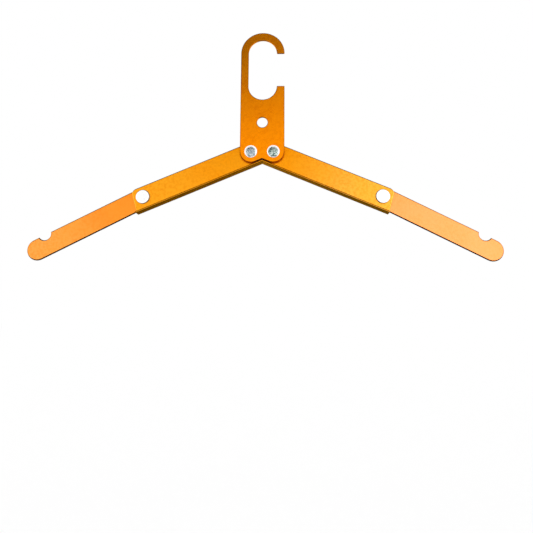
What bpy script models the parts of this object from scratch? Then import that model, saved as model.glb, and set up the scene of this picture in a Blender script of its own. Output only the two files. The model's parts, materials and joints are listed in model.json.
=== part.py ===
# Folding travel hanger: a flat hook plate with a side mouth, and two arms of two links each.
# The inner links are T-shaped extrusions lying on their side. Their flange ends butt together
# when the hanger is open, and they nest round the hook plate when it is folded.
# Metres, +Z up, front towards -Y. The origin is the crown of the hook's inner arch, where the
# hanger rests on a rail, at half the plate's thickness.

import math

import bmesh
import bpy
from mathutils import Matrix, Vector

# Clearances between the pieces.
seat_gap = 0.0003
bore_gap = 0.0003
flange_side_gap = 0.00075
web_seam_gap = 0.0012
tip_meeting_gap = 0.00044

# Hook plate. Heights are measured up from the line through the shoulder rivets.
hook_width = 0.0376
hook_thickness = 0.0020
hook_leg_width = 0.0066
hook_crown_width = 0.0070
hook_arch_height = 0.0886
slot_bottom_height = 0.0462
hook_corner_radius = 0.0006
cord_hole_diameter = 0.0090
cord_hole_height = 0.0258
notch_root_radius = 0.0015

# Inner arm, a T-shaped extrusion. Its web stands behind the hook plate, its flange runs below.
shoulder_spacing = 0.0190
inner_reach = 0.0984
web_thickness = 0.0015
web_root_radius = 0.0010
web_corner_radius = 0.0045
web_far_end = 0.0074
flange_thickness = 0.00155
flange_front_lip = 0.0006
flange_depth = 0.0095
flange_near_end = 0.005275
flange_far_end = 0.0100
flange_edge_radius = 0.0004
saw_setback = 0.0002

# Outer arm, a flat bar with round ends and a strap notch in its upper edge.
outer_width = 0.0180
outer_thickness = 0.0018
strap_notch_radius = 0.0054
strap_notch_rise = 0.0009
strap_notch_inset = 0.0106

# Rivets and the washers between the sliding plates.
shank_diameter = 0.0040
shoulder_head_diameter = 0.0106
shoulder_head_height = 0.0012
shoulder_rim_height = 0.0004
shoulder_rim_width = 0.0006
elbow_head_diameter = 0.0120
elbow_head_height = 0.0006
elbow_head_edge = 0.0002
tail_diameter = 0.0065
shoulder_tail_height = 0.0007
elbow_tail_height = 0.0008
washer_diameter = 0.0100
washer_edge = 0.0001

# Finish of the plates and fineness of the round shapes.
plate_edge_radius = 0.0003
cut_overrun = 0.0001
weld_distance = 0.00001
arc_sag = 0.00002
turned_steps = 28
dome_rings = 5
edge_rings = 2

# Depth of each layer, from the front of the hook plate to the back, along Y.
half_hook = hook_thickness / 2
head_seat = half_hook + seat_gap
web_front = head_seat + elbow_head_height + seat_gap
web_back = web_front + web_thickness
shoulder_tail_seat = web_back + seat_gap
outer_front = shoulder_tail_seat + shoulder_tail_height + seat_gap
outer_back = outer_front + outer_thickness
elbow_tail_seat = outer_back + seat_gap
flange_front = -half_hook - flange_front_lip
flange_back = flange_front + flange_depth

# Sizes across the hook and the links, all from the shoulder rivets.
half_spacing = shoulder_spacing / 2
half_width = hook_width / 2
lobe_radius = half_width - half_spacing
slot_radius = half_width - hook_leg_width
slot_top_height = hook_arch_height + half_width - hook_crown_width - slot_radius
slot_low_height = slot_bottom_height + slot_radius
crown_height = slot_top_height + slot_radius
web_half_height = half_spacing - web_seam_gap / 2
flange_inner = half_width + flange_side_gap - half_spacing
flange_outer = flange_inner + flange_thickness
half_outer = outer_width / 2
bore_radius = shank_diameter / 2 + bore_gap


def butt_angle():
    # The arms open until the lower corners of the flange ends meet on the centre line.
    corner_reach = math.hypot(flange_outer, flange_near_end)
    corner_angle = math.atan2(flange_outer, flange_near_end)
    return corner_angle - math.acos((half_spacing - seat_gap / 2) / corner_reach)


def elbow_stop_angle():
    # The outer arm drops until its lower edge rests on the far end of the flange.
    corner_reach = math.hypot(flange_inner, flange_far_end)
    corner_angle = math.atan2(flange_far_end, flange_inner)
    return math.acos((half_outer + seat_gap) / corner_reach) - corner_angle


open_angle = butt_angle()
elbow_angle = elbow_stop_angle()
outer_reach = inner_reach + (half_spacing - half_outer - tip_meeting_gap / 2) / math.cos(open_angle)


def clear_scene():
    for old in list(bpy.data.objects):
        bpy.data.objects.remove(old, do_unlink=True)


def new_collection(name):
    collection = bpy.data.collections.new(name)
    bpy.context.scene.collection.children.link(collection)
    return collection


def arc(centre, radius, start, end, count=0):
    # Unless a count is given, the chords stay within the allowed sag of the true arc.
    if not count:
        step = 2 * math.acos(1 - arc_sag / radius)
        count = max(2, math.ceil(abs(end - start) / step))
    angles = [start + (end - start) * i / count for i in range(count + 1)]
    return [Vector((centre[0] + radius * math.cos(a), centre[1] + radius * math.sin(a))) for a in angles]


def circle(centre, radius):
    return arc(centre, radius, 0, math.tau)[:-1]


def corner(before, point, after, radius):
    # Replaces the corner at point by an arc that runs out of one side and into the other.
    before, point, after = Vector(before), Vector(point), Vector(after)
    side_in = (before - point).normalized()
    side_out = (after - point).normalized()
    half_angle = side_in.angle(side_out) / 2
    centre = point + (side_in + side_out).normalized() * radius / math.sin(half_angle)
    first = point + side_in * radius / math.tan(half_angle) - centre
    last = point + side_out * radius / math.tan(half_angle) - centre
    start = math.atan2(first.y, first.x)
    turn = math.atan2(first.x * last.y - first.y * last.x, first.dot(last))
    return arc(centre, radius, start, start + turn)


def mirrored(points, side):
    return [(side * p[0], p[1]) for p in points]


def outline_mesh(name, loops, thickness, edge_radius):
    # A flat outline with holes, as thick as asked, with every edge rounded.
    curve = bpy.data.curves.new(name, "CURVE")
    curve.dimensions = "2D"
    curve.fill_mode = "BOTH"
    curve.extrude = thickness / 2 - edge_radius
    curve.bevel_depth = edge_radius
    curve.bevel_resolution = edge_rings - 1
    curve.offset = -edge_radius
    for loop in loops:
        spline = curve.splines.new("POLY")
        spline.points.add(len(loop) - 1)
        for spline_point, point in zip(spline.points, loop):
            spline_point.co = (point[0], point[1], 0, 1)
        spline.use_cyclic_u = True
    holder = bpy.data.objects.new(name, curve)
    bpy.context.scene.collection.objects.link(holder)
    bpy.context.view_layer.update()
    evaluated = holder.evaluated_get(bpy.context.evaluated_depsgraph_get())
    mesh = bpy.data.meshes.new_from_object(evaluated)
    bpy.data.objects.remove(holder, do_unlink=True)
    bpy.data.curves.remove(curve)
    welded = bmesh.new()
    welded.from_mesh(mesh)
    bmesh.ops.remove_doubles(welded, verts=welded.verts, dist=weld_distance)
    bmesh.ops.recalc_face_normals(welded, faces=welded.faces)
    welded.to_mesh(mesh)
    welded.free()
    mesh.name = name
    return mesh


def stand_up(mesh, depth):
    # Turns a flat outline to face the front, with its middle at this depth.
    mesh.transform(Matrix.Translation((0, depth, 0)) @ Matrix.Rotation(math.radians(90), 4, "X"))
    return mesh


def place(name, mesh, parent, collection):
    # An upright mesh becomes an object on its parent's axis, smooth but for its sharp edges.
    mesh.shade_smooth()
    mesh.set_sharp_from_angle(angle=math.radians(35))
    piece = bpy.data.objects.new(name, mesh)
    piece.parent = parent
    collection.objects.link(piece)
    return piece


def fuse(piece, addition):
    # Joins a construction body to the piece that it belongs to.
    addition.hide_render = True
    addition.display_type = "WIRE"
    union = piece.modifiers.new("join " + addition.name, "BOOLEAN")
    union.operation = "UNION"
    union.solver = "EXACT"
    union.object = addition


def turned(name, profile, closed, parent, collection):
    # Turns a half profile about an axis that points to the front.
    count = len(profile)
    edges = [(i, i + 1) for i in range(count - 1)]
    if closed:
        edges.append((count - 1, 0))
    mesh = bpy.data.meshes.new(name)
    mesh.from_pydata([(radius, 0, height) for radius, height in profile], edges, [])
    piece = bpy.data.objects.new(name, mesh)
    piece.rotation_euler.x = math.radians(90)
    piece.parent = parent
    screw = piece.modifiers.new("turn", "SCREW")
    screw.axis = "Z"
    screw.angle = math.tau
    screw.steps = turned_steps
    screw.render_steps = turned_steps
    screw.use_merge_vertices = True
    screw.merge_threshold = weld_distance
    screw.use_smooth_shade = True
    collection.objects.link(piece)
    return piece


def metal(piece, colour, roughness):
    material = bpy.data.materials.new(piece.name)
    material.use_nodes = True
    surface = material.node_tree.nodes["Principled BSDF"]
    surface.inputs["Base Color"].default_value = (*colour, 1)
    surface.inputs["Roughness"].default_value = roughness
    surface.inputs["Metallic"].default_value = 1.0
    piece.data.materials.append(material)


def hook_outline():
    # One loop round the plate, in through the side mouth and round the slot.
    quarter = math.radians(90)
    arch_centre = (0, hook_arch_height)
    slot_top = (0, slot_top_height)
    slot_low = (0, slot_low_height)
    lobe_edge = half_spacing - lobe_radius * math.sin(open_angle)
    notch_height = lobe_edge * math.tan(open_angle) - lobe_radius * math.cos(open_angle)
    left_foot = (-half_spacing, notch_height - half_spacing * math.tan(open_angle))
    right_foot = (half_spacing, left_foot[1])
    points = arc((half_spacing, 0), lobe_radius, 0, -quarter - open_angle)
    points += corner(right_foot, (0, notch_height), left_foot, notch_root_radius)
    points += arc((-half_spacing, 0), lobe_radius, open_angle - quarter, -math.pi)
    points += arc(arch_centre, half_width, math.pi, 0)[:-1]
    points += mouth_end(half_width, slot_radius, slot_top_height, slot_top_height + hook_leg_width)
    points += arc(slot_top, slot_radius, 0, math.pi)[1:]
    points += arc(slot_low, slot_radius, math.pi, math.tau)[:-1]
    points += mouth_end(slot_radius, half_width, slot_low_height, slot_low_height - hook_leg_width)
    return points


def mouth_end(first_edge, last_edge, height, leg_height):
    # The square end of the hook's leg at the mouth, with both corners rounded.
    first, last = (first_edge, height), (last_edge, height)
    points = corner((first_edge, leg_height), first, last, hook_corner_radius)
    return points + corner(first, last, (last_edge, leg_height), hook_corner_radius)


def build_hook_plate(collection):
    holes = [circle((0, cord_hole_height), cord_hole_diameter / 2)]
    holes += [circle((side * half_spacing, 0), bore_radius) for side in (-1, 1)]
    mesh = outline_mesh("hook_plate", [hook_outline(), *holes], hook_thickness, plate_edge_radius)
    plate = place("hook_plate", stand_up(mesh, 0), None, collection)
    plate.location.z = -crown_height
    metal(plate, (0.87, 0.26, 0.012), 0.34)


def web_outline():
    # The web's near end is a round lobe on the shoulder rivet, its far end a slanted cut.
    near = flange_near_end - saw_setback
    root = -(flange_inner + flange_thickness / 2)
    lobe_end = math.acos(-near / web_half_height)
    top_end = inner_reach + web_far_end
    root_end = inner_reach + flange_far_end - saw_setback
    points = arc((0, 0), web_half_height, math.radians(90), math.tau - lobe_end)
    points += [Vector((-near, root)), Vector((root_end, root))]
    points += corner((root_end, root), (top_end, web_half_height), (0, web_half_height), web_corner_radius)
    return points


def build_inner_arm(name, side, parent, collection, helpers):
    bores = [circle((reach, 0), bore_radius) for reach in (0, inner_reach)]
    loops = [mirrored(loop, side) for loop in (web_outline(), *bores)]
    web = outline_mesh(name, loops, web_thickness, plate_edge_radius)
    arm = place(name, stand_up(web, (web_front + web_back) / 2), parent, collection)

    near, far = -flange_near_end, inner_reach + flange_far_end
    bar = [(near, flange_front), (far, flange_front), (far, flange_back), (near, flange_back)]
    flange = outline_mesh(name + "_flange", [mirrored(bar, side)], flange_thickness, flange_edge_radius)
    flange.transform(Matrix.Translation((0, 0, -(flange_inner + flange_outer) / 2)))
    fuse(arm, place(name + "_flange", flange, parent, helpers))

    root = outline_mesh(name + "_root", [root_profile()], far - near - 2 * saw_setback, 0)
    along = Matrix(((0, 0, 1, side * (near + far) / 2), (1, 0, 0, 0), (0, 1, 0, 0), (0, 0, 0, 1)))
    root.transform(along)
    fuse(arm, place(name + "_root", root, parent, helpers))
    metal(arm, (0.93, 0.36, 0.02), 0.38)


def root_profile():
    # The fillets on both sides of the web, where it grows out of the flange.
    top = web_root_radius - flange_inner
    low = -flange_inner - flange_thickness / 2
    quarter = math.radians(90)
    front_centre = (web_front - web_root_radius + cut_overrun, top)
    back_centre = (web_back + web_root_radius - cut_overrun, top)
    points = arc(front_centre, web_root_radius, -quarter, 0)
    points += arc(back_centre, web_root_radius, math.pi, math.pi + quarter)
    return points + [Vector((back_centre[0], low)), Vector((front_centre[0], low))]


def outer_outline():
    # Round ends, and a round strap notch whose centre is above the edge, so its mouth is sharp.
    quarter = math.radians(90)
    notch_centre = (outer_reach - strap_notch_inset, half_outer + strap_notch_rise)
    notch_edge = math.asin(strap_notch_rise / strap_notch_radius)
    points = arc((0, 0), half_outer, quarter, 3 * quarter)
    points += arc((outer_reach, 0), half_outer, -quarter, quarter)
    return points + arc(notch_centre, strap_notch_radius, -notch_edge, notch_edge - math.pi)


def build_outer_arm(name, side, parent, collection, colour):
    loops = [mirrored(loop, side) for loop in (outer_outline(), circle((0, 0), bore_radius))]
    mesh = outline_mesh(name, loops, outer_thickness, plate_edge_radius)
    arm = place(name, stand_up(mesh, (outer_front + outer_back) / 2), parent, collection)
    metal(arm, colour, 0.4)


def tail_profile(seat, height):
    # The peened end of a rivet, a low dome under the last plate. Heights grow to the front.
    radius = tail_diameter / 2
    dome = arc((0, 0), 1, 0, -math.radians(90), dome_rings - 2)
    return [(shank_diameter / 2, -seat)] + [(radius * p.x, height * p.y - seat) for p in dome]


def build_shoulder_rivet(name, parent, collection):
    # The head is a shallow dome that stands on a thin flat rim.
    radius = shoulder_head_diameter / 2
    dome_radius = radius - shoulder_rim_width
    rim_top = head_seat + shoulder_rim_height
    dome_height = shoulder_head_height - shoulder_rim_height
    dome = arc((0, 0), 1, math.radians(90), 0, dome_rings)
    profile = [(dome_radius * p.x, rim_top + dome_height * p.y) for p in dome]
    profile += [(radius, rim_top), (radius, head_seat), (shank_diameter / 2, head_seat)]
    profile += tail_profile(shoulder_tail_seat, shoulder_tail_height)
    metal(turned(name, profile, False, parent, collection), (0.78, 0.78, 0.77), 0.16)


def build_elbow_rivet(name, parent, collection):
    # The head is thin and flat, so that it passes behind the hook plate.
    radius = elbow_head_diameter / 2
    front = -head_seat
    seat = front - elbow_head_height
    edge = arc((radius - elbow_head_edge, front - elbow_head_edge), elbow_head_edge, math.radians(90), 0)
    profile = [(0, front)] + [(p.x, p.y) for p in edge]
    profile += [(radius, seat), (shank_diameter / 2, seat)]
    profile += tail_profile(elbow_tail_seat, elbow_tail_height)
    metal(turned(name, profile, False, parent, collection), (0.82, 0.82, 0.81), 0.2)


def build_washer(name, front, thickness, parent, collection):
    outer, inner, back = washer_diameter / 2, bore_radius, front + thickness
    profile = [(outer - washer_edge, -front), (outer, -front - washer_edge)]
    profile += [(outer, washer_edge - back), (outer - washer_edge, -back)]
    profile += [(inner, -back), (inner, -front)]
    metal(turned(name, profile, True, parent, collection), (0.7, 0.7, 0.7), 0.3)


def joint_axis(name, location, angle, parent, helpers):
    # An empty on a hinge's axis, turned to the stop that the arm rests on.
    axis = bpy.data.objects.new(name, None)
    axis.empty_display_size = bore_radius
    axis.location = location
    axis.rotation_euler.y = angle
    axis.parent = parent
    helpers.objects.link(axis)
    return axis


def build_side(side, prefix, colour, collection, helpers):
    shoulder_place = (side * half_spacing, 0, -crown_height)
    shoulder = joint_axis(prefix + "_shoulder_axis", shoulder_place, side * open_angle, None, helpers)
    elbow_place = (side * inner_reach, 0, 0)
    elbow = joint_axis(prefix + "_elbow_axis", elbow_place, side * elbow_angle, shoulder, helpers)
    build_inner_arm(prefix + "_inner_arm", side, shoulder, collection, helpers)
    build_outer_arm(prefix + "_outer_arm", side, elbow, collection, colour)
    build_shoulder_rivet(prefix + "_shoulder_rivet", shoulder, collection)
    build_elbow_rivet(prefix + "_elbow_rivet", elbow, collection)
    build_washer(prefix + "_shoulder_washer", head_seat, elbow_head_height, shoulder, collection)
    build_washer(prefix + "_elbow_washer", shoulder_tail_seat, shoulder_tail_height, elbow, collection)


def build_hanger():
    clear_scene()
    collection = new_collection("folding_travel_hanger")
    helpers = new_collection("construction")
    build_hook_plate(collection)
    build_side(-1, "left", (0.97, 0.31, 0.03), collection, helpers)
    build_side(1, "right", (0.94, 0.42, 0.08), collection, helpers)
    print("arms rest", round(math.degrees(open_angle), 2), "degrees below level, elbows a further",
          round(math.degrees(elbow_angle), 2))


build_hanger()
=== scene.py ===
# folding travel hanger in orange anodised aluminium, open, on a plain white stage
import json
import math

import bmesh
import bpy
from mathutils import Matrix, Vector


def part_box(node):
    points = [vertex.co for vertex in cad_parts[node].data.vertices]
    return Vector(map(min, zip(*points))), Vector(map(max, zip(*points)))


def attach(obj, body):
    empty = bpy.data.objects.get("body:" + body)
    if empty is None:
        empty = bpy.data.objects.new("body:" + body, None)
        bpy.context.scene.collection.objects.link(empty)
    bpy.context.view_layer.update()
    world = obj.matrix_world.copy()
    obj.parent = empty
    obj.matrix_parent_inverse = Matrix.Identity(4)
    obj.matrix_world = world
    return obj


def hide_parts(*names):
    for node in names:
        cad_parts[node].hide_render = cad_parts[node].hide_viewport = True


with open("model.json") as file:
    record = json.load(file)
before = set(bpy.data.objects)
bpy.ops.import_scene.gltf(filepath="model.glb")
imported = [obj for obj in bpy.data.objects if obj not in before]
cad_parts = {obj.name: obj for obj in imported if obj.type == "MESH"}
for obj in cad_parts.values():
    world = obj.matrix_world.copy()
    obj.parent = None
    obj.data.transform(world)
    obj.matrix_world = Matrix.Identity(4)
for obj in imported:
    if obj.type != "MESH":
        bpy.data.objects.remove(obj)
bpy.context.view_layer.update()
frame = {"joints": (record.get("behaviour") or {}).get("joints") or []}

scene = bpy.context.scene
pieces = bpy.data.collections.new("hangerPieces")
scene.collection.children.link(pieces)
joints = {joint["name"]: Vector(joint["pos_m"]) for joint in frame["joints"]}
sides = (("left", -1), ("right", 1))
white = (1, 1, 1, 1)
quarter = math.radians(90)
fineStep, cornerStep = math.radians(3), math.radians(12)  # between the points of an arc

# the hinge lines of the right side, and the slope of the inner arms; the left side mirrors them
shoulder = joints["right_shoulder"]
elbow = joints["right_elbow"]
reach = (elbow - shoulder).length
openAngle = math.atan2(shoulder.z - elbow.z, elbow.x - shoulder.x)


def layer(node):
    # front and back of a CAD piece
    low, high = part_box(node)
    return low.y, high.y


def hingePlace(joint, side):
    # a hinge point of the right side, or its mirror image
    return (side * joint.x, 0, joint.z)


def downArm(side, angle):
    # the direction from an arm's hinge to its far end
    return Vector((side * math.cos(angle), 0, -math.sin(angle)))


def arc(centre, radius, start, end, step=fineStep):
    count = max(3, math.ceil(abs(end - start) / step))
    turns = [start + (end - start) * i / count for i in range(count + 1)]
    return [Vector((centre[0] + radius * math.cos(t), centre[1] + radius * math.sin(t))) for t in turns]


def circle(centre, radius):
    return arc(centre, radius, 0, math.tau)[:-1]


def roundCorner(before, point, after, radius):
    # an arc that takes the place of a sharp corner
    before, point, after = Vector(before), Vector(point), Vector(after)
    sideIn, sideOut = (before - point).normalized(), (after - point).normalized()
    half = sideIn.angle(sideOut) / 2
    centre = point + (sideIn + sideOut).normalized() * radius / math.sin(half)
    first = point + sideIn * radius / math.tan(half) - centre
    last = point + sideOut * radius / math.tan(half) - centre
    turn = math.atan2(first.cross(last), first.dot(last))
    start = math.atan2(first.y, first.x)
    return arc(centre, radius, start, start + turn, cornerStep)


def mirrored(points, side):
    return [(side * point[0], point[1]) for point in points]


def newObject(name, data, home):
    made = bpy.data.objects.new(name, data)
    home.objects.link(made)
    return made


def evaluatedMesh(item):
    # what a curve or a piece with modifiers comes to, as a mesh
    return bpy.data.meshes.new_from_object(item.evaluated_get(bpy.context.evaluated_depsgraph_get()))


# the normal of a rounded edge's face lies between edgeFrom, an upright wall, and edgeTo, a level face
plate = {"weld": 1e-5, "edgeFrom": 0.1, "edgeTo": 0.995}


def plateMesh(name, loops, thickness, edge, rings=4, tumbledAndShaded=True):
    # a 2D curve filled on both sides, with rounded edges in a finish of their own that paints shade on them, made a
    # closed mesh
    curve = bpy.data.curves.new(name, "CURVE")
    curve.dimensions = "2D"
    curve.fill_mode = "BOTH"
    curve.extrude = thickness / 2 - edge
    curve.bevel_depth = edge
    curve.bevel_resolution = rings - 1
    curve.offset = -edge
    for loop in loops:
        spline = curve.splines.new("POLY")
        spline.points.add(len(loop) - 1)
        for knot, point in zip(spline.points, loop):
            knot.co = (point[0], point[1], 0, 1)
        spline.use_cyclic_u = True
    holder = newObject(name, curve, scene.collection)
    mesh = evaluatedMesh(holder)
    bpy.data.objects.remove(holder)
    mesh.name = name
    work = bmesh.new()
    work.from_mesh(mesh)
    bmesh.ops.remove_doubles(work, verts=work.verts, dist=plate["weld"])
    bmesh.ops.recalc_face_normals(work, faces=work.faces)
    for face in work.faces:
        face.material_index = int(tumbledAndShaded and plate["edgeFrom"] < abs(face.normal.z) < plate["edgeTo"])
    work.to_mesh(mesh)
    work.free()
    return mesh


def standUp(mesh, front, back):
    mesh.transform(Matrix.Translation((0, (front + back) / 2, 0)) @ Matrix.Rotation(quarter, 4, "X"))
    return mesh


def addPiece(name, mesh, finishes):
    piece = newObject(name, mesh, pieces)
    for finish in finishes:
        mesh.materials.append(finish)
    mesh.shade_smooth()
    return piece


def applyModifiers(piece):
    done = evaluatedMesh(piece)
    piece.modifiers.clear()
    piece.data = done


axisLines = {"x": Vector((1, 0, 0)), "y": Vector((0, 1, 0)), "z": Vector((0, 0, 1))}
square = 0.9999  # how nearly the normal of a level face keeps to an axis


def keepFlatsFlat(mesh, axes, crease=50):
    # faces that lie square to one of the axes shade dead level, and the rounded edges run smoothly out of them
    work = bmesh.new()
    work.from_mesh(mesh)
    work.faces.ensure_lookup_table()
    level = [any(abs(face.normal.dot(axisLines[axis])) > square for axis in axes) for face in work.faces]
    limit = math.cos(math.radians(crease))
    normals = []
    for face in work.faces:
        for loop in face.loops:
            near = [other for other in loop.vert.link_faces if other.normal.dot(face.normal) > limit]
            beside = [other.normal for other in near if level[other.index]]
            if level[face.index] or face not in near:
                normal = face.normal.copy()
            elif beside:
                normal = max(beside, key=face.normal.dot).copy()
            else:
                normal = sum((other.normal * other.calc_area() for other in near), Vector()).normalized()
            normals.append(tuple(normal))
    work.free()
    mesh.normals_split_custom_set(normals)


def seat(piece, place, angle, body, node):
    # turns a piece to its rest angle on its hinge line, and puts it in place of its CAD node
    piece.data.transform(Matrix.Rotation(angle, 4, "Y"))
    piece.location = place
    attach(piece, body)
    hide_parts(node)


class Signal:
    # one output socket; sums and products of signals add their own Math nodes
    def __init__(self, maker, socket):
        self.maker = maker
        self.socket = socket

    def __add__(self, other):
        return self.maker.math("ADD", self, other)

    def __sub__(self, other):
        return self.maker.math("SUBTRACT", self, other)

    def __rsub__(self, other):
        return self.maker.math("SUBTRACT", other, self)

    def __mul__(self, other):
        return self.maker.math("MULTIPLY", self, other)

    __radd__ = __add__
    __rmul__ = __mul__

    def out(self, name):
        # another output of the same node
        return Signal(self.maker, self.socket.node.outputs[name])


class NodeMaker:
    def __init__(self, tree):
        self.tree = tree
        tree.nodes.clear()

    def add(self, kind, settings=None, inputs=None, output=0):
        node = self.tree.nodes.new("ShaderNode" + kind)
        for name, value in (settings or {}).items():
            setattr(node, name, value)
        for name, value in (inputs or {}).items():
            if isinstance(value, Signal):
                self.tree.links.new(value.socket, node.inputs[name])
            else:
                node.inputs[name].default_value = value
        return Signal(self, node.outputs[output]) if node.outputs else node

    def math(self, operation, first, second=0.0):
        return self.add("Math", {"operation": operation}, {0: first, 1: second})

    def vector(self, operation, first, second=(0, 0, 0), output="Vector"):
        return self.add("VectorMath", {"operation": operation}, {0: first, 1: second}, output)

    def along(self, vector, direction):
        return self.vector("DOT_PRODUCT", vector, direction, "Value")

    def mixColour(self, factor, first, second):
        # sockets 6, 7 and 2 are the Mix node's colour ones
        settings = {"data_type": "RGBA", "clamp_factor": True}
        return self.add("Mix", settings, {0: factor, 6: first, 7: second}, output=2)

    def mixShader(self, factor, first, second):
        return self.add("MixShader", None, {"Fac": factor, 1: first, 2: second})

    def smooth(self, value, low, high):
        # 0 at low, 1 at high, and a soft slope between
        settings = {"interpolation_type": "SMOOTHSTEP"}
        return self.add("MapRange", settings, {"Value": value, "From Min": low, "From Max": high})

    def place(self):
        return self.add("TexCoord", output="Object")

    def noise(self, place, scale, **more):
        return self.add("TexNoise", None, {"Vector": place, "Scale": scale, **more})

    def bump(self, height, look):
        inputs = {"Height": height, "Strength": look["bump"], "Distance": look["bumpDepth"]}
        return self.add("Bump", None, inputs)

    def glow(self, level):
        return self.add("Emission", None, {"Color": white, "Strength": level})

    def show(self, surface, kind="OutputMaterial"):
        self.add(kind, None, {"Surface": surface})


def colour(red, green, blue):
    # a colour as a picture shows it, 0 to 255, made linear
    def linear(part):
        part /= 255
        return part / 12.92 if part <= 0.04045 else ((part + 0.055) / 1.055) ** 2.4
    return (linear(red), linear(green), linear(blue), 1)


def mixed(first, second, share):
    return tuple(a + (b - a) * share for a, b in zip(first, second))


def newFinish(name):
    material = bpy.data.materials.new(name)
    material.use_nodes = True
    return material, NodeMaker(material.node_tree)


# a range is where a noise begins to show and where it shows in full
blasted = {
    "grainScale": 3600.0, "grainRange": (0.62, 0.3), "grainDepth": 0.5, "grainGloss": 0.2,
    "mottleScale": 420.0, "mottleRange": (0.6, 0.34), "mottleDepth": 0.45,
    "cloudScale": 45.0, "cloudRange": (0.35, 0.7), "cloudDepth": 0.3, "cloudGloss": 0.1,
    "speckScale": 0.6, "speckShare": 0.3, "bump": 0.35, "bumpDepth": 0.00006, "roughness": 0.38,
    "glance": (1.0, 0.85, 0.2, 1.0),  # what the dye turns the metal to at a glancing view
}
edgeLook = {"roughness": 0.26, "bump": 0.12}
# tints for the rounded edges: brown, dark and black are painted shade, pale is a painted highlight
edgeShadeAndHighlight = {
    "brown": {"tint": colour(140, 84, 20), "share": 0.6},
    "dark": {"tint": colour(104, 50, 8), "share": 0.9},
    "black": {"tint": colour(70, 34, 6), "share": 1.0},
    "pale": {"tint": colour(255, 220, 110), "share": 0.35},
}


def anodised(name, look):
    # blasted and dyed aluminium: fine dimples, a mottled dye with faint clouds, and a slow fade along the piece
    # that is painted light and shade
    look = dict(blasted, **look)
    material, make = newFinish(name)
    place = make.place()
    dimples = make.noise(place, look["grainScale"], Detail=4.0, Roughness=0.65)
    mottle = make.noise(place, look["mottleScale"], Detail=3.0, Roughness=0.6)
    cloud = make.noise(place, look["cloudScale"], Detail=3.0)
    speck = make.add("TexVoronoi", None, {"Vector": place, "Scale": look["grainScale"] * look["speckScale"]})
    # the fade is painted light and shade: near at one end, far at the other
    fade = make.smooth(make.along(place, look["fadeAlong"]), look["fadeFrom"], look["fadeTo"])
    dyeAndPaintedLight = make.mixColour(fade, look["near"], look["far"])
    grainy = make.mixColour(make.smooth(dimples, *look["grainRange"]) * look["grainDepth"], dyeAndPaintedLight, look["deep"])
    patchy = make.mixColour(make.smooth(mottle, *look["mottleRange"]) * look["mottleDepth"], grainy, look["deep"])
    shade = make.mixColour(make.smooth(cloud, *look["cloudRange"]) * look["cloudDepth"], patchy, look["pale"])
    gloss = (dimples - 0.5) * look["grainGloss"] + (cloud - 0.5) * look["cloudGloss"] + look["roughness"]
    height = dimples * (1 - look["speckShare"]) + speck * look["speckShare"]
    make.show(make.add("BsdfPrincipled", None, {
        "Base Color": shade, "Roughness": gloss, "Metallic": 1.0, "Normal": make.bump(height, look),
        "Specular Tint": look["glance"]}))
    return material


def plateFinishes(name, look, *edges):
    # the blasted faces, then one finish for each kind of rounded edge: glossier, and tinted with painted shade, the
    # pale kind with a painted highlight
    finishes = [anodised(name, look)]
    for edge in edges:
        dyeAndPaintedLight = edgeShadeAndHighlight[edge]
        tones = {part: mixed(look[part], dyeAndPaintedLight["tint"], dyeAndPaintedLight["share"]) for part in ("near", "far", "deep", "pale")}
        finishes.append(anodised(name + edge.capitalize() + "Edge", dict(look, **tones, **edgeLook)))
    return finishes


def paintEdgeLight(mesh, edge, chosen):
    # paints light or shade on some of the edges of a piece, by giving them another of its finishes
    slot = [finish.name.endswith(edge.capitalize() + "Edge") for finish in mesh.materials].index(True)
    for face in mesh.polygons:
        if face.material_index and chosen(face):
            face.material_index = slot


turning = {
    "ringShare": 0.2, "swirlScale": 300.0, "swirlRange": (0.38, 0.62), "swirlWidth": 0.0016, "reflectionSoft": 0.0008,
    "reflectionGloss": 0.1, "hazeScale": 1800.0, "hazeRange": (0.3, 0.75), "hazeGloss": 0.1, "glossRange": (0.35, 0.75),
    "rimSoft": 0.0003, "bumpDepth": 0.00008,
}


def polished(name, look):
    # bright rivet metal with faint turning marks, and a painted reflection: a darker, swirled patch a little below
    # the middle of the head
    look = dict(turning, **look)
    material, make = newFinish(name)
    place = make.place()
    rings = make.add("TexWave", {"wave_type": "RINGS", "rings_direction": "Y"},
                     {"Vector": place, "Scale": look["ringScale"], "Distortion": 1.5, "Detail": 2.0}, output=1)
    swirl = make.noise(make.vector("ADD", place, (look["mark"], 0, 0)), look["swirlScale"],
                       Detail=2.0, Distortion=1.8)
    haze = make.noise(place, look["hazeScale"], Detail=4.0)
    lowered = make.vector("ADD", place, (look["lean"], 0, look["reflectionLow"]))
    radius = make.vector("LENGTH", make.vector("MULTIPLY", lowered, (1, 0, 1)), output="Value")
    # the painted reflection's mask, its edge wobbled by the swirl
    paintedReflection = make.smooth(radius + (swirl - 0.5) * look["swirlWidth"],
                          look["reflectionRadius"], look["reflectionRadius"] - look["reflectionSoft"])
    clean = make.mixColour(make.smooth(haze, *look["hazeRange"]), look["bright"], look["dull"])
    reflectionTone = make.mixColour(make.smooth(swirl, *look["swirlRange"]), look["reflectionDark"], look["reflectionPale"])
    # painted shade on the rim, from rimFrom outwards
    rim = make.smooth(radius, look["rimFrom"], look["rimFrom"] + look["rimSoft"])
    tone = make.mixColour(rim, make.mixColour(paintedReflection * look["reflectionDepth"], clean, reflectionTone), look["rimTone"])
    gloss = make.smooth(haze, *look["glossRange"]) * look["hazeGloss"] + paintedReflection * look["reflectionGloss"]
    height = swirl * (1 - look["ringShare"]) + rings * look["ringShare"]
    shine = paintedReflection * (1 - look["satin"]) + look["satin"]
    make.show(make.add("BsdfPrincipled", None, {
        "Base Color": tone, "Roughness": gloss + look["roughness"], "Metallic": shine,
        "Normal": make.bump(height, look)}))
    return material


print("shape and finish tools ready")

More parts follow.
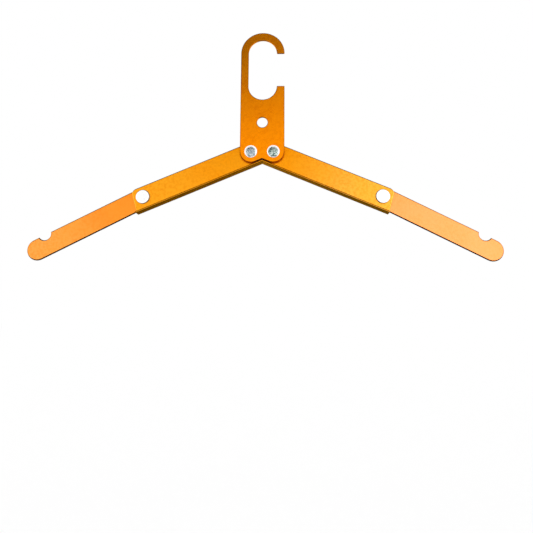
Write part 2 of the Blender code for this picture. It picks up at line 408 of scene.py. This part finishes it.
hookLow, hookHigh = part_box("hook_plate")
hook = {
    "legWidth": 0.0066, "crownWidth": 0.0070, "slotBottom": 0.0462, "cornerRadius": 0.0006,
    "holeRadius": 0.0045, "holeHeight": 0.0258, "notchRoot": 0.0015, "boreRadius": 0.0023,
    "edge": 0.0006,
}
# near is the dye at the top of the hook, far the dye lower down; the darker top is painted shade
hookLook = {
    "near": colour(244, 144, 10), "far": colour(255, 144, 5), "deep": colour(232, 122, 2),
    "pale": colour(255, 152, 12), "fadeAlong": (0, 0, 1), "fadeFrom": 0.090, "fadeTo": 0.030,
    "roughness": 0.3, "mottleDepth": 0.65,
}
halfWidth = (hookHigh.x - hookLow.x) / 2
halfSpacing = shoulder.x
lobeRadius = halfWidth - halfSpacing


def legEnd(firstX, lastX, height, legHeight):
    # the cut end of the hook or of the leg below it, with its two small corners
    first, last = (firstX, height), (lastX, height)
    points = roundCorner((firstX, legHeight), first, last, hook["cornerRadius"])
    return points + roundCorner(first, last, (lastX, legHeight), hook["cornerRadius"])


def hookOutline():
    # heights count up from the shoulder rivets
    slotRadius = halfWidth - hook["legWidth"]
    archHeight = hookHigh.z - shoulder.z - halfWidth
    slotTop = archHeight + halfWidth - hook["crownWidth"] - slotRadius
    slotLow = hook["slotBottom"] + slotRadius
    tangent = halfSpacing - lobeRadius * math.sin(openAngle)
    notchTop = tangent * math.tan(openAngle) - lobeRadius * math.cos(openAngle)
    foot = notchTop - halfSpacing * math.tan(openAngle)
    points = arc((halfSpacing, 0), lobeRadius, 0, -quarter - openAngle)
    points += roundCorner((halfSpacing, foot), (0, notchTop), (-halfSpacing, foot), hook["notchRoot"])
    points += arc((-halfSpacing, 0), lobeRadius, openAngle - quarter, -math.pi)
    points += arc((0, archHeight), halfWidth, math.pi, 0)[:-1]
    points += legEnd(halfWidth, slotRadius, slotTop, slotTop + hook["legWidth"])
    points += arc((0, slotTop), slotRadius, 0, math.pi)[1:]
    points += arc((0, slotLow), slotRadius, math.pi, math.tau)[:-1]
    points += legEnd(slotRadius, halfWidth, slotLow, slotLow - hook["legWidth"])
    return points


def makeHook():
    holes = [circle((0, hook["holeHeight"]), hook["holeRadius"])]
    holes += [circle((side * halfSpacing, 0), hook["boreRadius"]) for side in (-1, 1)]
    mesh = plateMesh("hookPlate", [hookOutline(), *holes], hookHigh.y - hookLow.y, hook["edge"])
    finishes = plateFinishes("hookOrange", hookLook, "brown", "dark")
    piece = addPiece("hookPlate", standUp(mesh, hookLow.y, hookHigh.y), finishes)
    # painted shade on the lower edges of the lobes
    paintEdgeLight(piece.data, "dark", lambda face: face.center.z < 0)  # the lobes, below the shoulder rivets
    keepFlatsFlat(piece.data, "y")
    seat(piece, (0, 0, shoulder.z), 0, "hook", "hook_plate")


makeHook()
print("hook plate made")

# topLean and farLean are how far a face looks up or outward where the edges get painted shade and a painted
# highlight
inner = {
    "webHalf": 0.0089, "webFar": 0.0074, "webCorner": 0.0045, "webThick": 0.0015, "edge": 0.0007,
    "webFront": 0.0022, "rootRadius": 0.0010, "rootSink": 0.0001, "flangeInner": 0.01005, "flangeThick": 0.00155,
    "flangeNear": 0.0057, "flangeFar": 0.0100, "flangeEdge": 0.0007, "setback": 0.0002, "seamRise": 0.0056,
    "buttGap": 0.00001, "topLean": 0.1, "farLean": 0.15,
}
innerLook = {
    "near": colour(252, 154, 8), "deep": colour(222, 126, 4), "pale": colour(255, 176, 34),
    "fadeFrom": 0.005, "fadeTo": 0.088,
}
# the far ends are paler, painted light; the right one more, a painted sheen from the light on the right
innerFar = {"left": colour(255, 169, 34), "right": colour(255, 186, 70)}
flangeFront, flangeBack = layer("right_inner_arm")
flangeEnds = (-inner["flangeNear"], reach + inner["flangeFar"])
flangeMiddle = -inner["flangeInner"] - inner["flangeThick"] / 2  # below the hinge line


def webOutline():
    # the near end runs upright, close to the other arm's, up to a little above the hook's lower edge
    near, far = flangeEnds
    seam = -near * math.cos(openAngle) - flangeMiddle * math.sin(openAngle)
    rise = inner["seamRise"]
    corner = Vector((rise * math.sin(openAngle) - seam * math.cos(openAngle),
                     -rise * math.cos(openAngle) - seam * math.sin(openAngle)))
    root = (far - inner["setback"], flangeMiddle)
    points = arc((0, 0), inner["webHalf"], quarter, math.pi + openAngle)
    points += [corner, Vector((near, flangeMiddle)), Vector(root)]
    return points + roundCorner(root, (reach + inner["webFar"], inner["webHalf"]), (0, inner["webHalf"]),
                                inner["webCorner"])


def makeFlange(title, side, finishes):
    # the bar below the web; its near end slopes to meet the other arm's
    near, far = flangeEnds
    bar = [(near, flangeFront), (far, flangeFront), (far, flangeBack), (near, flangeBack)]
    mesh = plateMesh(title, [mirrored(bar, side)], inner["flangeThick"], inner["flangeEdge"])
    for vertex in mesh.vertices:
        if side * vertex.co.x < 0:
            vertex.co.x -= side * (vertex.co.z + inner["flangeThick"] / 2) * math.tan(openAngle)
    mesh.transform(Matrix.Translation((0, 0, flangeMiddle)))
    return addPiece(title, mesh, finishes)


def makeRoot(title, side, finishes):
    # the two fillets where the web grows out of the flange, drawn from the end and run along the arm
    near, far = flangeEnds
    radius = inner["rootRadius"]
    top = radius - inner["flangeInner"]
    front = (inner["webFront"] - radius + inner["rootSink"], top)
    back = (inner["webFront"] + inner["webThick"] + radius - inner["rootSink"], top)
    points = arc(front, radius, -quarter, 0, cornerStep) + arc(back, radius, math.pi, math.pi + quarter, cornerStep)
    points += [Vector((back[0], flangeMiddle)), Vector((front[0], flangeMiddle))]
    mesh = plateMesh(title, [points], far - near - 2 * inner["setback"], 0, 1, tumbledAndShaded=False)
    mesh.transform(Matrix(((0, 0, 1, side * (near + far) / 2), (1, 0, 0, 0), (0, 1, 0, 0), (0, 0, 0, 1))))
    return addPiece(title, mesh, finishes)


def joinHelpers(piece, helpers):
    for helper in helpers:
        union = piece.modifiers.new(helper.name, "BOOLEAN")
        union.operation = "UNION"
        union.solver = "EXACT"
        union.object = helper
    applyModifiers(piece)
    for helper in helpers:
        bpy.data.objects.remove(helper)


def sawUpright(mesh, side):
    # the near ends meet on the centre line, with a hair between them
    normal = Vector((side * math.cos(openAngle), 0, math.sin(openAngle)))
    work = bmesh.new()
    work.from_mesh(mesh)
    everything = work.verts[:] + work.edges[:] + work.faces[:]
    cut = bmesh.ops.bisect_plane(work, geom=everything, plane_co=normal * (inner["buttGap"] - shoulder.x),
                                 plane_no=normal, clear_inner=True)
    mouth = [part for part in cut["geom_cut"] if isinstance(part, bmesh.types.BMEdge)]
    bmesh.ops.edgeloop_fill(work, edges=mouth)
    work.to_mesh(mesh)
    work.free()


def makeInnerArm(name, side):
    title = name + "InnerArm"
    look = dict(innerLook, far=innerFar[name], fadeAlong=downArm(side, openAngle))
    finishes = plateFinishes(name + "InnerGold", look, "brown", "pale", "dark")
    loops = [webOutline()] + [circle((x, 0), hook["boreRadius"]) for x in (0, reach)]
    web = plateMesh(title, [mirrored(loop, side) for loop in loops], inner["webThick"], inner["edge"])
    arm = addPiece(title, standUp(web, inner["webFront"], inner["webFront"] + inner["webThick"]), finishes)
    joinHelpers(arm, [makeFlange(title + "Flange", side, finishes), makeRoot(title + "Root", side, finishes)])
    sawUpright(arm.data, side)
    # painted shade on the edges that look up, a painted highlight on those that look outward
    paintEdgeLight(arm.data, "dark", lambda face: face.normal.z > inner["topLean"])
    paintEdgeLight(arm.data, "pale", lambda face: side * face.normal.x > inner["farLean"])
    keepFlatsFlat(arm.data, "xyz")
    seat(arm, hingePlace(shoulder, side), side * openAngle, name + "_inner_arm", name + "_inner_arm")


for name, side in sides:
    makeInnerArm(name, side)
print("inner arms made")

# lowLean is how far a face looks down where painted shade blackens the edges
outer = {
    "half": 0.008985, "reach": 0.0987036, "notchRadius": 0.0054, "notchRise": 0.0009, "notchInset": 0.0106,
    "edge": 0.00088, "dropAngle": math.radians(4.1498), "lowLean": -0.1,
}
outerLook = {"fadeFrom": 0.010, "fadeTo": 0.095, "roughness": 0.4}
# the left arm grows paler towards its far end, painted light; the right arm is paler all over, a painted sheen from
# the light on the right
outerDyeAndSheen = {
    "left": {"near": colour(255, 142, 36), "far": colour(255, 168, 80), "deep": colour(238, 130, 26),
             "pale": colour(255, 170, 64)},
    "right": {"near": colour(255, 166, 93), "far": colour(255, 161, 94), "deep": colour(244, 148, 70),
              "pale": colour(255, 178, 112)},
}
outerFront, outerBack = layer("right_outer_arm")


def outerOutline():
    # a bar with round ends, and the strap notch in its upper edge
    centre = (outer["reach"] - outer["notchInset"], outer["half"] + outer["notchRise"])
    mouth = math.asin(outer["notchRise"] / outer["notchRadius"])
    points = arc((0, 0), outer["half"], quarter, 3 * quarter)
    points += arc((outer["reach"], 0), outer["half"], -quarter, quarter)
    return points + arc(centre, outer["notchRadius"], -mouth, mouth - math.pi)


def makeOuterArm(name, side):
    title = name + "OuterArm"
    hang = openAngle + outer["dropAngle"]
    look = dict(outerLook, **outerDyeAndSheen[name], fadeAlong=downArm(side, hang))
    finishes = plateFinishes(name + "OuterOrange", look, "brown", "black")
    loops = [mirrored(loop, side) for loop in (outerOutline(), circle((0, 0), hook["boreRadius"]))]
    mesh = plateMesh(title, loops, outerBack - outerFront, outer["edge"])
    arm = addPiece(title, standUp(mesh, outerFront, outerBack), finishes)
    # painted shade blackens the edges that look down
    paintEdgeLight(arm.data, "black", lambda face: face.normal.z < outer["lowLean"])
    keepFlatsFlat(arm.data, "y")
    seat(arm, hingePlace(elbow, side), side * hang, name + "_outer_arm", name + "_outer_arm")


for name, side in sides:
    makeOuterArm(name, side)
print("outer arms made")

rivet = {
    "shank": 0.0020, "tailRadius": 0.00325, "shoulderTail": 0.0007, "elbowTail": 0.0008,
    "shoulderHead": 0.0053, "shoulderRim": 0.0004, "rimWidth": 0.0006, "headSeat": 0.0013,
    "rimEdge": 0.00015, "elbowHead": 0.0060, "elbowHeadHeight": 0.0006, "elbowEdge": 0.00055,
    "washer": 0.0050, "washerEdge": 0.0001, "facets": 72, "domeRings": 14, "edgeRings": 4,
    "weld": 1e-6, "crease": 32,
}
# rimTone is painted shade on a head's rim; a rimFrom beyond the head's radius leaves its rim bright
shoulderLook = {
    "bright": colour(250, 250, 252), "dull": colour(236, 238, 240), "ringScale": 900.0, "roughness": 0.14,
    "bump": 0.05, "reflectionLow": 0.0007, "reflectionRadius": 0.0046, "reflectionDepth": 1.0, "satin": 0.4,
    "lean": 0.0, "rimFrom": 0.02, "rimTone": colour(152, 134, 108),
}
# the tones of each shoulder head's painted reflection, and the shift of its swirl
shoulderMarksAndReflections = {
    "left": {"reflectionDark": colour(124, 136, 144), "reflectionPale": colour(192, 199, 204), "mark": -0.02},
    "right": {"reflectionDark": colour(70, 96, 92), "reflectionPale": colour(190, 204, 196), "mark": 0.05},
}
# the elbow heads have no painted reflection, only painted shade on their rim
elbowLook = dict(shoulderLook, roughness=0.24, reflectionDepth=0.0, reflectionLow=0.0, satin=0.85, rimFrom=0.0054)
elbowLean = 0.0003  # how far the shaded rim sits off the middle
washerLook = dict(shoulderLook, bright=colour(214, 214, 212), dull=colour(182, 182, 180), ringScale=1400.0,
                  roughness=0.26, bump=0.2, reflectionDepth=0.0, satin=1.0)


def turned(name, profile, material, closed=False):
    # a half profile from the front end to the back, turned about the rivet's own axis
    edges = [(i, i + 1) for i in range(len(profile) - 1)]
    if closed:
        edges.append((len(profile) - 1, 0))
    mesh = bpy.data.meshes.new(name)
    mesh.from_pydata([(radius, 0, -depth) for radius, depth in profile], edges, [])
    piece = newObject(name, mesh, pieces)
    screw = piece.modifiers.new("turn", "SCREW")
    screw.steps = screw.render_steps = rivet["facets"]
    screw.use_merge_vertices = True
    screw.merge_threshold = rivet["weld"]
    applyModifiers(piece)
    piece.data.materials.append(material)
    piece.data.shade_smooth()
    keepFlatsFlat(piece.data, "z", rivet["crease"])
    piece.data.transform(Matrix.Rotation(quarter, 4, "X"))
    return piece


def quarterTurns(rings):
    # the angles of a quarter circle
    return [quarter * i / rings for i in range(rings + 1)]


def dome(radius, front, back):
    # from the middle of the cap out to its rim
    turns = quarterTurns(rivet["domeRings"])
    return [(radius * math.sin(t), back + (front - back) * math.cos(t)) for t in turns]


def softEdge(radius, front, edge):
    turns = quarterTurns(rivet["edgeRings"])
    return [(radius - edge + edge * math.sin(t), front + edge - edge * math.cos(t)) for t in turns]


def tail(back, height):
    return [(rivet["shank"], back - height)] + dome(rivet["tailRadius"], back, back - height)[::-1]


def makeShoulderRivet(name, side, material):
    front, back = layer(name + "_shoulder_rivet")
    seatAt = -rivet["headSeat"]
    rimTop = seatAt - rivet["shoulderRim"]
    profile = dome(rivet["shoulderHead"] - rivet["rimWidth"], front, rimTop)
    profile += softEdge(rivet["shoulderHead"], rimTop, rivet["rimEdge"])
    profile += [(rivet["shoulderHead"], seatAt), (rivet["shank"], seatAt)]
    profile += tail(back, rivet["shoulderTail"])
    piece = turned(name + "ShoulderRivet", profile, material)
    seat(piece, hingePlace(shoulder, side), side * openAngle, "hook", name + "_shoulder_rivet")


def makeElbowRivet(name, side, material):
    front, back = layer(name + "_elbow_rivet")
    seatAt = front + rivet["elbowHeadHeight"]
    profile = [(0, front)] + softEdge(rivet["elbowHead"], front, rivet["elbowEdge"])
    profile += [(rivet["elbowHead"], seatAt), (rivet["shank"], seatAt)]
    profile += tail(back, rivet["elbowTail"])
    piece = turned(name + "ElbowRivet", profile, material)
    seat(piece, hingePlace(elbow, side), side * openAngle, name + "_inner_arm", name + "_elbow_rivet")


def makeWasher(name, joint, place, body, side, material):
    node = name + "_" + joint + "_washer"
    front, back = layer(node)
    edge, outside = rivet["washerEdge"], rivet["washer"]
    profile = [(outside - edge, front), (outside, front + edge), (outside, back - edge)]
    profile += [(outside - edge, back), (hook["boreRadius"], back), (hook["boreRadius"], front)]
    piece = turned(name + joint.capitalize() + "Washer", profile, material, closed=True)
    seat(piece, hingePlace(place, side), side * openAngle, body, node)


for name, side in sides:
    marksAndReflection = shoulderMarksAndReflections[name]
    makeShoulderRivet(name, side, polished(name + "ShoulderMetal", dict(shoulderLook, **marksAndReflection)))
    elbowRivetLook = dict(elbowLook, **marksAndReflection)
    elbowRivetLook["lean"] = -side * elbowLean
    makeElbowRivet(name, side, polished(name + "ElbowMetal", elbowRivetLook))
    steel = polished(name + "WasherSteel", dict(washerLook, **marksAndReflection))
    makeWasher(name, "shoulder", shoulder, "hook", side, steel)
    makeWasher(name, "elbow", elbow, name + "_inner_arm", side, steel)
print("rivets and washers made")

# the apron is the floor's half width in front, counted in walls
stage = {
    "floor": -0.55, "wall": 1.0, "bend": 0.3, "bendStep": math.radians(9), "top": 0.8, "hub": 0.01, "facets": 48,
    "front": -2.4, "apron": 2.4, "glow": 0.9, "paperScale": 40.0, "paper": (0.86, 0.86, 0.86, 1),
    "shade": (0.8, 0.8, 0.8, 1),
}


def whiteFinish():
    # pale paper to the lamps, white to the camera and in reflections; the floor keeps a faint shadow
    material, make = newFinish("stageWhite")
    place = make.place()
    tone = make.mixColour(make.noise(place, stage["paperScale"]), stage["paper"], stage["shade"])
    matt = make.add("BsdfDiffuse", None, {"Color": tone})
    rays = make.add("LightPath")
    seen = make.math("MINIMUM", rays + rays.out("Is Glossy Ray") + rays.out("Is Transmission Ray"), 1.0)
    up = make.smooth(make.along(place, (0, 0, 1)), stage["floor"], stage["floor"] + stage["bend"])
    glow = up * (1 - stage["glow"]) + stage["glow"]
    make.show(make.mixShader(seen * glow, matt, make.glow(1.0)))
    return material


def spun(work, profile, turns):
    # rows of corners: a profile of distances and heights, set at each turn about the upright axis
    return [[work.verts.new((p.x * math.cos(t), p.x * math.sin(t), p.y)) for p in profile] for t in turns]


def meshFrom(work, name):
    mesh = bpy.data.meshes.new(name)
    work.to_mesh(mesh)
    work.free()
    return mesh


def makeStage():
    # a half round of backdrop that bends down into the floor, which runs on to the front
    wall, bend, floor, count = stage["wall"], stage["bend"], stage["floor"], stage["facets"]
    profile = [Vector((stage["hub"], floor))]
    profile += arc((wall - bend, floor + bend), bend, -quarter, 0, stage["bendStep"])
    profile.append(Vector((wall, stage["top"])))
    work = bmesh.new()
    rows = spun(work, profile, [math.pi * i / count for i in range(count + 1)])
    for row, following in zip(rows, rows[1:]):
        for i in range(len(profile) - 1):
            work.faces.new((row[i], row[i + 1], following[i + 1], following[i]))
    wide = wall * stage["apron"]
    corners = [(-wide, 0), (-wide, stage["front"]), (wide, stage["front"]), (wide, 0)]
    work.faces.new([work.verts.new((x, y, floor)) for x, y in corners])
    mesh = meshFrom(work, "stageSweep")
    mesh.shade_smooth()
    mesh.materials.append(whiteFinish())
    sweep = newObject("stageSweep", mesh, scene.collection)


skyLevel = 1.3
cardHeight = -0.14  # the middle of both cards, at the hanger's own height


def placeCard(name, mesh, material):
    # a card that mirrors in the metal and does nothing else
    mesh.shade_smooth()
    mesh.materials.append(material)
    holder = newObject(name, mesh, scene.collection)
    holder.location.z = cardHeight
    holder.visible_camera = False
    holder.visible_diffuse = False
    holder.visible_shadow = False


# heights are shares of the radius, dim and dark are how bright the roof looks, and thin grows to the right
canopy = {
    "radius": 0.80, "from": 0.26, "facets": 72, "dimFrom": 0.402, "dimTo": 0.475, "dim": 0.13,
    "darkFrom": 0.74, "darkTo": 0.88, "dark": 0.03, "thinFrom": -0.15, "thinTo": 0.15, "thin": 0.43,
}


def canopyFinish():
    material, make = newFinish("canopyGrey")
    place = make.place()
    up = make.along(place, (0, 0, 1 / canopy["radius"]))
    across = make.along(place, (1, 0, 0))
    thin = make.smooth(across, canopy["thinFrom"], canopy["thinTo"]) * canopy["thin"]
    shut = make.smooth(up, canopy["dimFrom"], canopy["dimTo"]) * (1 - thin)
    closed = make.smooth(up, canopy["darkFrom"], canopy["darkTo"])
    hem = make.mixShader(shut, make.glow(skyLevel), make.glow(canopy["dim"]))
    make.show(make.mixShader(closed, hem, make.glow(canopy["dark"])))
    return material


def makeCanopy():
    # a grey tent roof over the hanger, pale at its hem, dark at the top and a little thinner on the right
    radius, count = canopy["radius"], canopy["facets"]
    rise = arc((0, 0), radius, math.asin(canopy["from"]), quarter)[:-1]
    work = bmesh.new()
    rows = spun(work, rise, [math.tau * i / count for i in range(count)])
    crown = work.verts.new((0, 0, radius))
    for row, following in zip(rows, rows[1:] + rows[:1]):
        for i in range(len(rise) - 1):
            work.faces.new((row[i], following[i], following[i + 1], row[i + 1]))
        work.faces.new((row[-1], following[-1], crown))
    placeCard("canopy", meshFrom(work, "canopy"), canopyFinish())


tray = {
    "radius": 0.40, "from": math.radians(-2), "to": math.radians(-130), "half": 0.35, "back": 0.20,
    "narrowing": 0.3, "level": 0.13,
}


def makeTray():
    # a dark card bowed under and behind the hanger, for its undersides; its back end is narrow
    material, make = newFinish("trayBlack")
    make.show(make.glow(tray["level"]))
    points = arc((0, 0), tray["radius"], tray["from"], tray["to"])
    halves = [min(tray["half"], tray["back"] - point.y * tray["narrowing"]) for point in points]
    places = [(end * half, point.x, point.y) for end in (-1, 1) for point, half in zip(points, halves)]
    count = len(points)
    mesh = bpy.data.meshes.new("tray")
    mesh.from_pydata(places, [], [(i, i + 1, count + i + 1, count + i) for i in range(count - 1)])
    placeCard("tray", mesh, material)


def makeWorld():
    # the same soft light from all round
    world = bpy.data.worlds.new("tent")
    world.use_nodes = True
    scene.world = world
    make = NodeMaker(world.node_tree)
    make.show(make.add("Background", None, {"Color": white, "Strength": skyLevel}), "OutputWorld")


softbox = {"width": 1.0, "height": 0.8, "level": 0.8, "place": (0.75, -1.0, 0.0), "target": (0.1, 0, -0.15)}


def makeSoftbox():
    # level is how bright its face looks, 1 being white
    light = bpy.data.lights.new("rightBox", "AREA")
    light.shape = "RECTANGLE"
    light.size, light.size_y = softbox["width"], softbox["height"]
    light.energy = softbox["level"] * math.pi * softbox["width"] * softbox["height"]
    lamp = newObject("rightBox", light, scene.collection)
    lamp.location = softbox["place"]
    aim = Vector(softbox["target"]) - Vector(softbox["place"])
    lamp.rotation_euler = aim.to_track_quat("-Z", "Y").to_euler()


view = {
    "place": (0.02364, -0.47205, -0.24458), "turn": (100.0109, -0.3829, 2.3004), "lens": 39.3403,
    "sensor": 36, "shiftY": -0.08177, "nearest": 0.01, "farthest": 20,
}


def makeCamera():
    # where the open hanger was photographed from: a little below it and a touch to the right
    camera = bpy.data.cameras.new("camera")
    camera.sensor_width = view["sensor"]
    camera.lens = view["lens"]
    camera.shift_y = view["shiftY"]
    camera.clip_start, camera.clip_end = view["nearest"], view["farthest"]
    holder = newObject("camera", camera, scene.collection)
    holder.location = view["place"]
    holder.rotation_euler = [math.radians(angle) for angle in view["turn"]]
    scene.camera = holder


makeStage()
makeCanopy()
makeTray()
makeWorld()
makeSoftbox()
makeCamera()
scene.view_settings.view_transform = "Standard"
print("stage, light and camera made")
